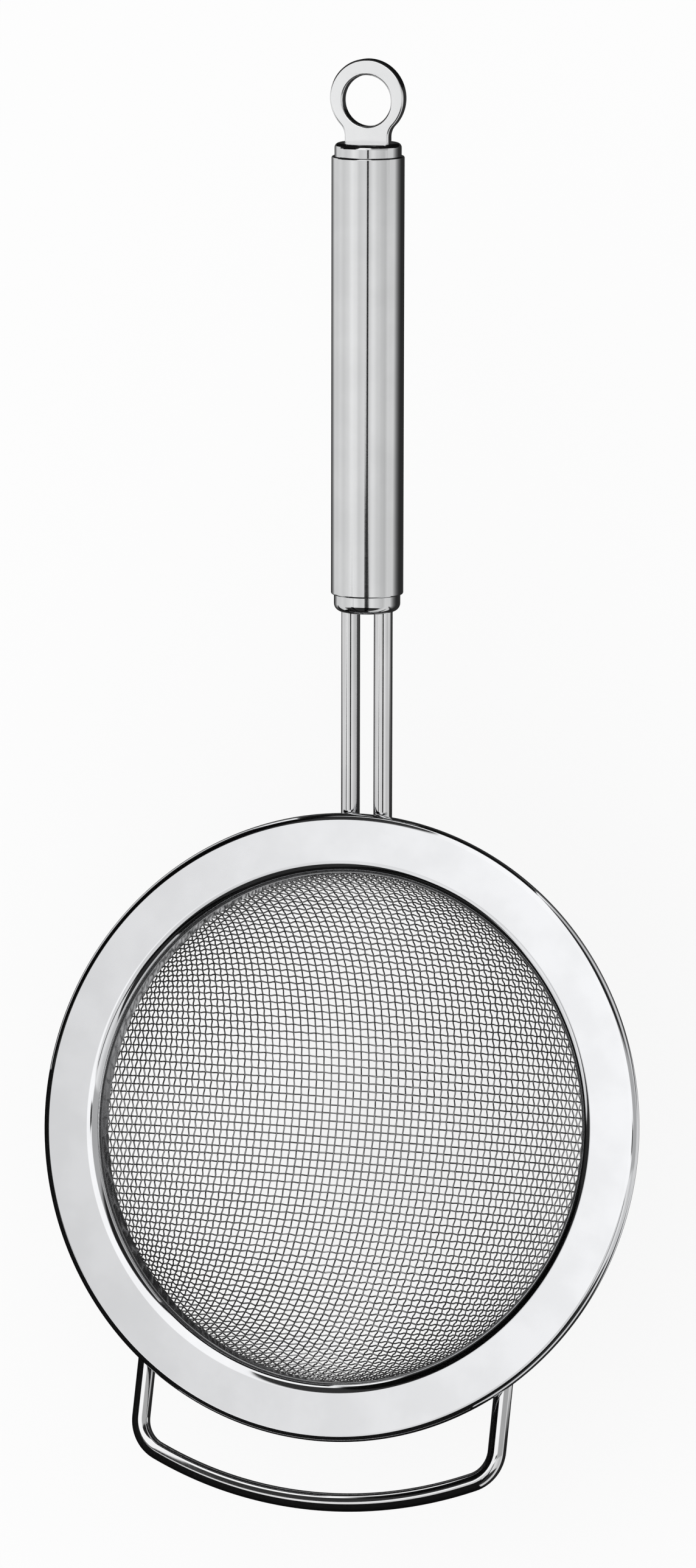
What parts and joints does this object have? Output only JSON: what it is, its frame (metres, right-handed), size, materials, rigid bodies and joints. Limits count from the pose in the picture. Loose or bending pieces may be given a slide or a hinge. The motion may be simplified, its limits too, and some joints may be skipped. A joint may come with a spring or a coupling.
{
  "type": "handled wire strainer",
  "caption": "Round kitchen strainer: a coarse woven-wire bowl in a flat flanged rim, with a rest bow on one side and a tube handle on rods that ends in a hanging eyelet.",
  "frame": {"origin": "centre of the rim in the plane of its top face, on the bowl's axis", "axes": "+Z out of the bowl's mouth, +Y toward the handle, +X to the right when the handle points away"},
  "size_m": [0.16, 0.3655, 0.1142],
  "materials": {
    "rim_sheet": "fine satin pressed stainless sheet with a bright curled edge",
    "wire_cloth": "bright drawn stainless wire, plain weave",
    "bright_wire": "polished round stainless wire",
    "satin_tube": "fine lengthwise satin",
    "eyelet_plate": "tumbled satin plate with softened edges"
  },
  "bodies": {
    "root": {"rim_flange": "rim_sheet", "clamp_band": "rim_sheet", "mesh_warp_wires": "wire_cloth", "mesh_weft_wires": "wire_cloth", "rest_bow": "bright_wire", "left_rod": "bright_wire", "right_rod": "bright_wire", "handle_tube": "satin_tube", "rod_end_cap": "satin_tube", "ring_end_cap": "satin_tube", "hanging_ring": "eyelet_plate"}
  },
  "joints": []
}
